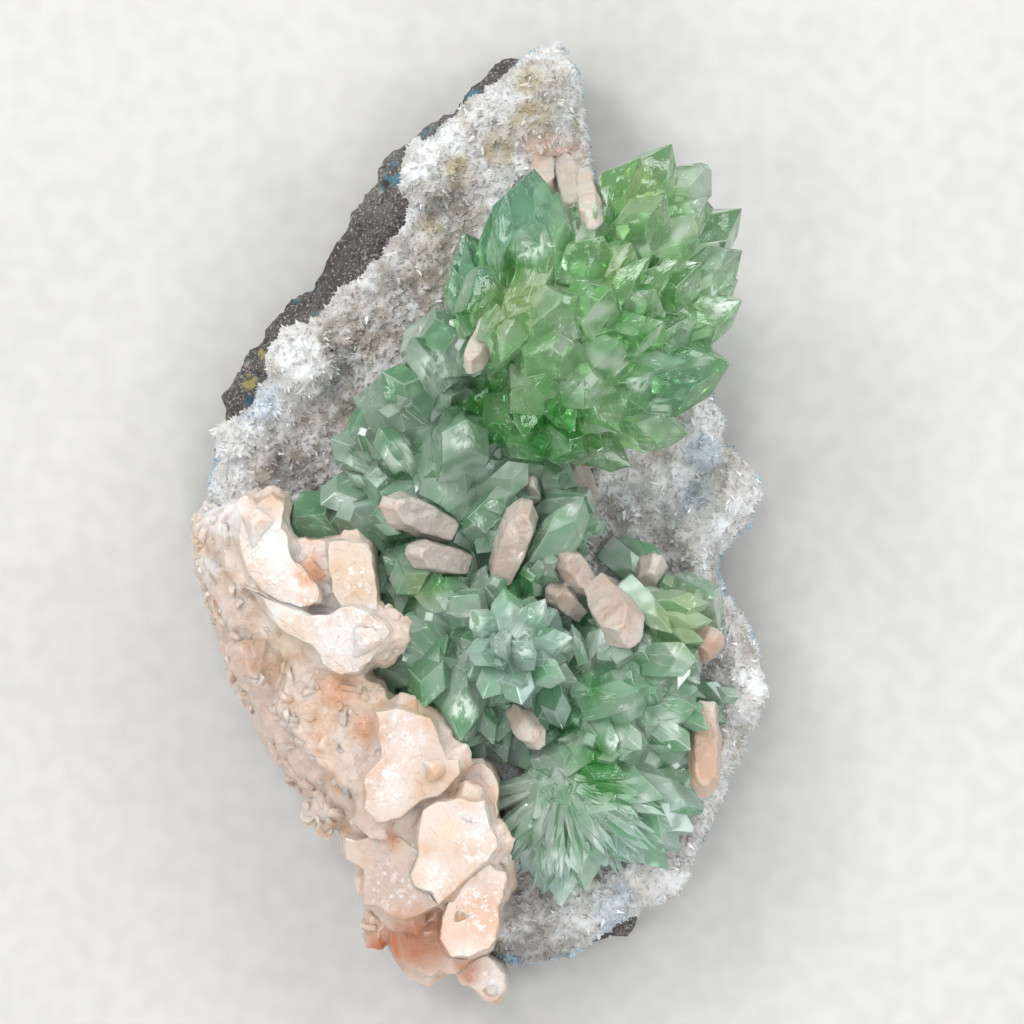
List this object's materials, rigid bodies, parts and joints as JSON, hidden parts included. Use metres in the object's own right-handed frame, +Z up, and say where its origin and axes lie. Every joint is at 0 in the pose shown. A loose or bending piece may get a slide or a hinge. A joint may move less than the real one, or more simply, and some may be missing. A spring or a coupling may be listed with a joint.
{
  "type": "apophyllite cluster",
  "caption": "Mineral specimen: green apophyllite sprays and peach stilbite plates on drusy white chalcedony over basalt, lying on the rock's flat broken underside.",
  "frame": {"origin": "on the flat broken underside of the basalt, under the middle of the specimen", "axes": "+Z up, out of the crystals; +Y along the long axis, towards the white chalcedony peak; +X towards the side of the big green spray"},
  "size_m": [0.0838, 0.141, 0.0573],
  "materials": {
    "basalt": "matte",
    "chalcedony": "satin",
    "stilbite": "satin",
    "apophyllite": "gloss"
  },
  "bodies": {
    "root": {"basalt_matrix": "basalt", "chalcedony_crust": "chalcedony", "stilbite_flank": "stilbite", "stilbite_crystal_1": "stilbite", "stilbite_crystal_2": "stilbite", "stilbite_crystal_3": "stilbite", "stilbite_crystal_4": "stilbite", "stilbite_crystal_5": "stilbite", "stilbite_crystal_6": "stilbite", "stilbite_crystal_7": "stilbite", "stilbite_crystal_8": "stilbite", "stilbite_crystal_9": "stilbite", "stilbite_crystal_10": "stilbite", "stilbite_crystal_11": "stilbite", "stilbite_crystal_12": "stilbite", "stilbite_crystal_13": "stilbite", "stilbite_crystal_14": "stilbite", "stilbite_crystal_15": "stilbite", "stilbite_crystal_16": "stilbite", "apophyllite_spray": "apophyllite", "apophyllite_druse": "apophyllite"}
  },
  "joints": []
}
